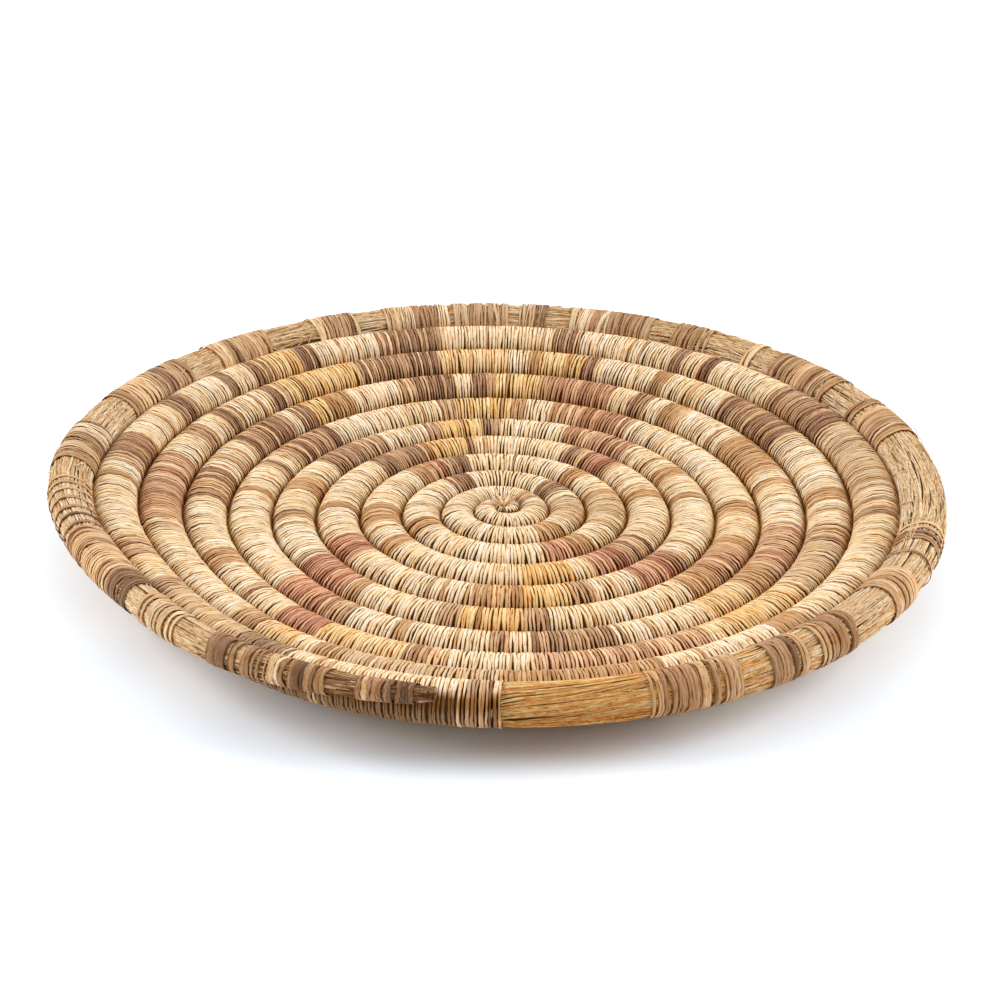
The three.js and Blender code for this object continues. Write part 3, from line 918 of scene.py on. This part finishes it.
def laid_petal(lay, point):
    """Lays a flattened rod from its near end, sunk in the hole, up over the hole's edge and down to its far
    end."""
    share = point.z + 0.5
    middle = lay.near.lerp(lay.far, share)
    over = point.y * lay.width / 2
    aside = (lay.far - lay.near).orthogonal().normalized() * (over * math.cos(lay.tilt))
    off_top = 2 * share - 1
    drop = (lay.sunk if off_top < 0 else PETAL_DROP) * off_top ** 2
    height = TOP_LEVEL + lay.lift - drop + PETAL_THICKNESS * point.x + over * math.sin(lay.tilt)
    return Vector((AXIS.x + middle.x + aside.x, AXIS.y + middle.y + aside.y, height))


def petal(near, far, sunk, width, lift, tilt):
    dye = hand.choice(("natural", "honey", "grey"))
    colour = dyed(dye, hand.gauss(*PETAL_TONE))
    return Petal(Vector(near) * MM, Vector(far) * MM, sunk * MM, width * MM, lift * MM, tilt, colour,
                 hand.uniform(*SEEDS))


def lining_petal(angle):
    """A strip that runs out of the hole and under the first round's stitches."""
    near, far = hand.uniform(*PETAL_NEAR), hand.uniform(*PETAL_FAR)
    turned = angle + PETAL_WHIRL
    width, lift = hand.uniform(*PETAL_WIDTH), hand.uniform(*PETAL_LIFT)
    return petal((near * math.cos(angle), near * math.sin(angle)),
                 (far * math.cos(turned), far * math.sin(turned)), PETAL_SUNK, width, lift, 0.0)


def start_knot():
    """The lump of crossed strips that the coil begins on: a funnel, strips that line it, and folded ends
    at its back."""
    funnel = bmesh.new()
    profile = [(radius * MM, knot_high.z - depth * MM) for radius, depth in FUNNEL_PROFILE]
    profile.append((profile[-1][0], knot_low.z))
    verts = [funnel.verts.new((radius, 0, height)) for radius, height in profile]
    edges = [funnel.edges.new(pair) for pair in zip(verts, verts[1:])]
    bmesh.ops.spin(funnel, geom=verts + edges, cent=(0, 0, 0), axis=(0, 0, 1), angle=FULL_TURN,
                   steps=FUNNEL_STEPS, use_merge=True)
    bmesh.ops.remove_doubles(funnel, verts=funnel.verts, dist=MERGE_DISTANCE)
    bmesh.ops.holes_fill(funnel, edges=[edge for edge in funnel.edges if edge.is_boundary])
    bmesh.ops.translate(funnel, verts=funnel.verts, vec=(AXIS.x, AXIS.y, 0))
    bmesh.ops.recalc_face_normals(funnel, faces=funnel.faces)
    for face in funnel.faces:
        face.smooth = True
    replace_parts(finished_piece("start_knot_funnel", funnel, SHADED_CORE_GRASS), "start_knot")
    leaf = stalk_rod("leaf rod", sides=6, cuts=7)
    lays = [lining_petal(FULL_TURN * (number + hand.uniform(-PETAL_STRAY, PETAL_STRAY)) / PETALS)
            for number in range(PETALS)]
    lays += [petal(*fold) for fold in KNOT_FOLDS]
    repeated_piece("start_knot_strips", leaf, lays, laid_petal, FINISHES["knot_strip"])


# The studio

FLOOR_REACH = 6
FLOOR_COLOUR = (0.93, 0.93, 0.932, 1)
SEEN_FLOOR_COLOUR = (1.16, 1.25, 1.35, 1)  # what the camera sees of it: white, with the shadow kept
FAR_FLOOR_COLOUR = (2.4, 2.4, 2.4, 1)  # the same where less light falls on it
FAR_FLOOR_START = 0.6
FAR_FLOOR_FULL = 3.0
WHITE = (1, 1, 1, 1)
NEAR_ROOM_LEVEL = 0.36  # the room's light on the camera's side
FAR_ROOM_LEVEL = 0.85
LAMP_SIDE = 1.85
LAMP_BACK = 0.1
LAMP_HEIGHT = 1.05
LAMP_SIZE = 1.4
LAMP_WATTS = 27


def background_mask(tree):
    """1 for the rays that show the background: the camera's own, and those that metal and glass send on."""
    rays = add_node(tree, "ShaderNodeLightPath")
    mask = math_node(tree, "ADD", rays.outputs["Is Camera Ray"], rays.outputs["Is Glossy Ray"])
    return math_node(tree, "ADD", mask, rays.outputs["Is Transmission Ray"], clamp=True)


def pale_floor():
    floor = bmesh.new()
    bmesh.ops.create_grid(floor, x_segments=1, y_segments=1, size=FLOOR_REACH)
    mesh = bpy.data.meshes.new("floor")
    floor.to_mesh(mesh)
    floor.free()
    material, tree = new_material("pale floor")
    paper = add_node(tree, "ShaderNodeBsdfDiffuse", Color=FLOOR_COLOUR)
    place = add_node(tree, "ShaderNodeTexCoord").outputs["Object"]
    off_middle = add_node(tree, "ShaderNodeVectorMath", {"operation": "LENGTH"}, i0=place).outputs["Value"]
    far = range_node(tree, off_middle, From_Min=FAR_FLOOR_START, From_Max=FAR_FLOOR_FULL)
    tint = add_node(tree, "ShaderNodeMix", {"data_type": "RGBA"}, i0=far, i6=SEEN_FLOOR_COLOUR,
                    i7=FAR_FLOOR_COLOUR)
    seen = add_node(tree, "ShaderNodeBsdfDiffuse", Color=tint.outputs["Result"])
    shown = add_node(tree, "ShaderNodeMixShader", Fac=background_mask(tree), i1=paper.outputs[0],
                     i2=seen.outputs[0])
    add_node(tree, "ShaderNodeOutputMaterial", Surface=shown.outputs[0])
    mesh.materials.append(material)
    piece = bpy.data.objects.new("floor", mesh)
    bpy.context.scene.collection.objects.link(piece)


def soft_lamp(name, place):
    lamp = bpy.data.lights.new(name, "AREA")
    lamp.shape = "DISK"
    lamp.size = LAMP_SIZE
    lamp.energy = LAMP_WATTS
    holder = bpy.data.objects.new(name, lamp)
    holder.location = place
    holder.rotation_euler = (-Vector(place)).to_track_quat("-Z", "Y").to_euler()
    bpy.context.scene.collection.objects.link(holder)


def soft_light():
    """A white room that is dimmer on the camera's side, and a big soft lamp to either side."""
    world = bpy.data.worlds.new("soft room")
    world.use_nodes = True
    tree = world.node_tree
    tree.nodes.clear()
    direction = add_node(tree, "ShaderNodeTexCoord")
    parts = add_node(tree, "ShaderNodeSeparateXYZ", Vector=direction.outputs["Generated"])
    level = range_node(tree, parts.outputs["Y"], From_Min=-0.5, From_Max=0.3, To_Min=NEAR_ROOM_LEVEL,
                       To_Max=FAR_ROOM_LEVEL)
    room = add_node(tree, "ShaderNodeBackground", Color=WHITE, Strength=level)
    white = add_node(tree, "ShaderNodeBackground", Color=WHITE, Strength=1.0)
    shown = add_node(tree, "ShaderNodeMixShader", Fac=background_mask(tree), i1=room.outputs[0],
                     i2=white.outputs[0])
    add_node(tree, "ShaderNodeOutputWorld", Surface=shown.outputs[0])
    bpy.context.scene.world = world
    soft_lamp("left lamp", (-LAMP_SIDE, LAMP_BACK, LAMP_HEIGHT))
    soft_lamp("right lamp", (LAMP_SIDE, LAMP_BACK, LAMP_HEIGHT))


def photo_camera():
    camera = bpy.data.cameras.new("camera")
    camera.lens = CAMERA_LENS
    camera.shift_x, camera.shift_y = CAMERA_SHIFT
    camera.clip_start = CAMERA_NEAR
    holder = bpy.data.objects.new("camera", camera)
    target = Vector((AXIS.x, AXIS.y, TOP_LEVEL))
    back = Vector((0, -math.cos(CAMERA_ELEVATION), math.sin(CAMERA_ELEVATION)))
    stand = Matrix.Translation(target + back * CAMERA_DISTANCE)
    aim = (-back).to_track_quat("-Z", "Y").to_matrix().to_4x4()
    holder.matrix_world = stand @ aim @ Matrix.Rotation(CAMERA_ROLL, 4, "Z")
    bpy.context.scene.collection.objects.link(holder)
    bpy.context.scene.camera = holder


bpy.context.scene.view_settings.view_transform = "Standard"
photo_camera()
soft_light()
pale_floor()
packed_core = packed_tube("foundation_bundle_grass", COIL_START_TURN, SEWING_END_TURN, CORE_FILL,
                          CORE_POINT, SHADED_CORE_GRASS)
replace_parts(packed_core, "foundation_bundle")
sew_coil()
bare_rim()
lash_rim()
start_knot()
